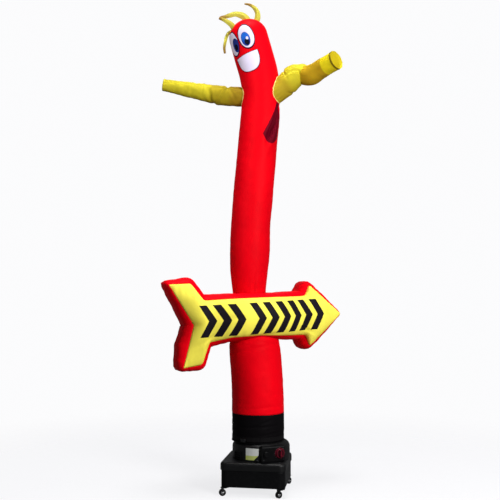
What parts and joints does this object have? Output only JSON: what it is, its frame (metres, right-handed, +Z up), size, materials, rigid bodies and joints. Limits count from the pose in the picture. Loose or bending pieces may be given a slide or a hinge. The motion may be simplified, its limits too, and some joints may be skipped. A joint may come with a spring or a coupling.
{
  "type": "inflatable air dancer on a blower",
  "caption": "Tall red cloth sleeve figure with a smiling face, yellow arms and hair and an inflated yellow arrow, strapped to a round blower on a wheeled base.",
  "frame": {"origin": "on the floor, at the middle of the whole thing's footprint; the blower's outlet axis stands 55 mm to +X of it", "axes": "+Z up the sleeve; -Y is the blower's front, which the figure faces within 9 degrees; +X to the right seen from the front"},
  "size_m": [1.6451, 1.0231, 4.3749],
  "materials": {
    "red_nylon": "woven nylon, taut, soft sheen",
    "yellow_nylon": "woven nylon, taut, soft sheen",
    "arrow_yellow_nylon": "woven nylon, taut, soft sheen",
    "white_nylon": "woven nylon, sewn on",
    "black_nylon": "woven nylon and webbing, dull",
    "grey_plastic": "rotomoulded, fine grain",
    "black_plastic": "moulded, fine grain",
    "red_plastic": "moulded, glossy",
    "tag_white": "blank printed tag",
    "steel": "zinc plated",
    "wheel_grey": "grey tread"
  },
  "bodies": {
    "blower": {"sleeve_lower": "red_nylon", "sleeve_upper": "red_nylon", "collar": "black_nylon", "collar_strap": "black_nylon", "strap_buckle": "steel", "arm_left": "yellow_nylon", "arm_right": "yellow_nylon", "hair_crown": "yellow_nylon", "hair_arch": "yellow_nylon", "hair_front": "yellow_nylon", "hair_hanging": "yellow_nylon", "eye_right": "white_nylon", "eye_left": "white_nylon", "mouth": "white_nylon", "arrow_front": "arrow_yellow_nylon", "arrow_back": "arrow_yellow_nylon", "arrow_band": "red_nylon", "base_tray": "grey_plastic", "base_lid": "black_plastic", "fan_drum": "grey_plastic", "outlet_flange": "black_plastic", "outlet_neck": "black_plastic", "control_pod": "grey_plastic", "control_faceplate": "black_plastic", "inlet_cap": "black_plastic", "blank_tag": "tag_white", "side_vent": "black_plastic", "drum_lug_front": "black_plastic", "drum_lug_left": "black_plastic", "drum_lug_back": "black_plastic", "drum_lug_right": "black_plastic", "caster_plate_front_left": "steel", "caster_plate_front_right": "steel", "caster_plate_back_left": "steel", "caster_plate_back_right": "steel"},
    "knob": {"rotary_knob": "red_plastic"},
    "caster_front_left": {"caster_fork_front_left": "steel"},
    "wheel_front_left": {"caster_wheel_front_left": "wheel_grey"},
    "caster_front_right": {"caster_fork_front_right": "steel"},
    "wheel_front_right": {"caster_wheel_front_right": "wheel_grey"},
    "caster_back_left": {"caster_fork_back_left": "steel"},
    "wheel_back_left": {"caster_wheel_back_left": "wheel_grey"},
    "caster_back_right": {"caster_fork_back_right": "steel"},
    "wheel_back_right": {"caster_wheel_back_right": "wheel_grey"}
  },
  "joints": [
    {"name": "knob_turn", "type": "hinge", "parent": "blower", "child": "knob", "pos_m": [0.27532, -0.20529, 0.362], "axis": [0.5225, -0.8526, 0], "range_deg": [0, 90]},
    {"name": "swivel_front_left", "type": "hinge", "parent": "blower", "child": "caster_front_left", "pos_m": [-0.1935, -0.236, 0.065], "axis": [0, 0, 1], "continuous": true},
    {"name": "roll_front_left", "type": "hinge", "parent": "caster_front_left", "child": "wheel_front_left", "pos_m": [-0.21525, -0.24614, 0.02875], "axis": [-0.4226, 0.9063, 0], "continuous": true},
    {"name": "swivel_front_right", "type": "hinge", "parent": "blower", "child": "caster_front_right", "pos_m": [0.2845, -0.236, 0.065], "axis": [0, 0, 1], "continuous": true},
    {"name": "roll_front_right", "type": "hinge", "parent": "caster_front_right", "child": "wheel_front_right", "pos_m": [0.26753, -0.25297, 0.02875], "axis": [-0.7071, 0.7071, 0], "continuous": true},
    {"name": "swivel_back_left", "type": "hinge", "parent": "blower", "child": "caster_back_left", "pos_m": [-0.1935, 0.242, 0.065], "axis": [0, 0, 1], "continuous": true},
    {"name": "roll_back_left", "type": "hinge", "parent": "caster_back_left", "child": "wheel_back_left", "pos_m": [-0.2055, 0.26278, 0.02875], "axis": [0.866, 0.5, 0], "continuous": true},
    {"name": "swivel_back_right", "type": "hinge", "parent": "blower", "child": "caster_back_right", "pos_m": [0.2845, 0.242, 0.065], "axis": [0, 0, 1], "continuous": true},
    {"name": "roll_back_right", "type": "hinge", "parent": "caster_back_right", "child": "wheel_back_right", "pos_m": [0.2965, 0.26278, 0.02875], "axis": [0.866, -0.5, 0], "continuous": true}
  ]
}
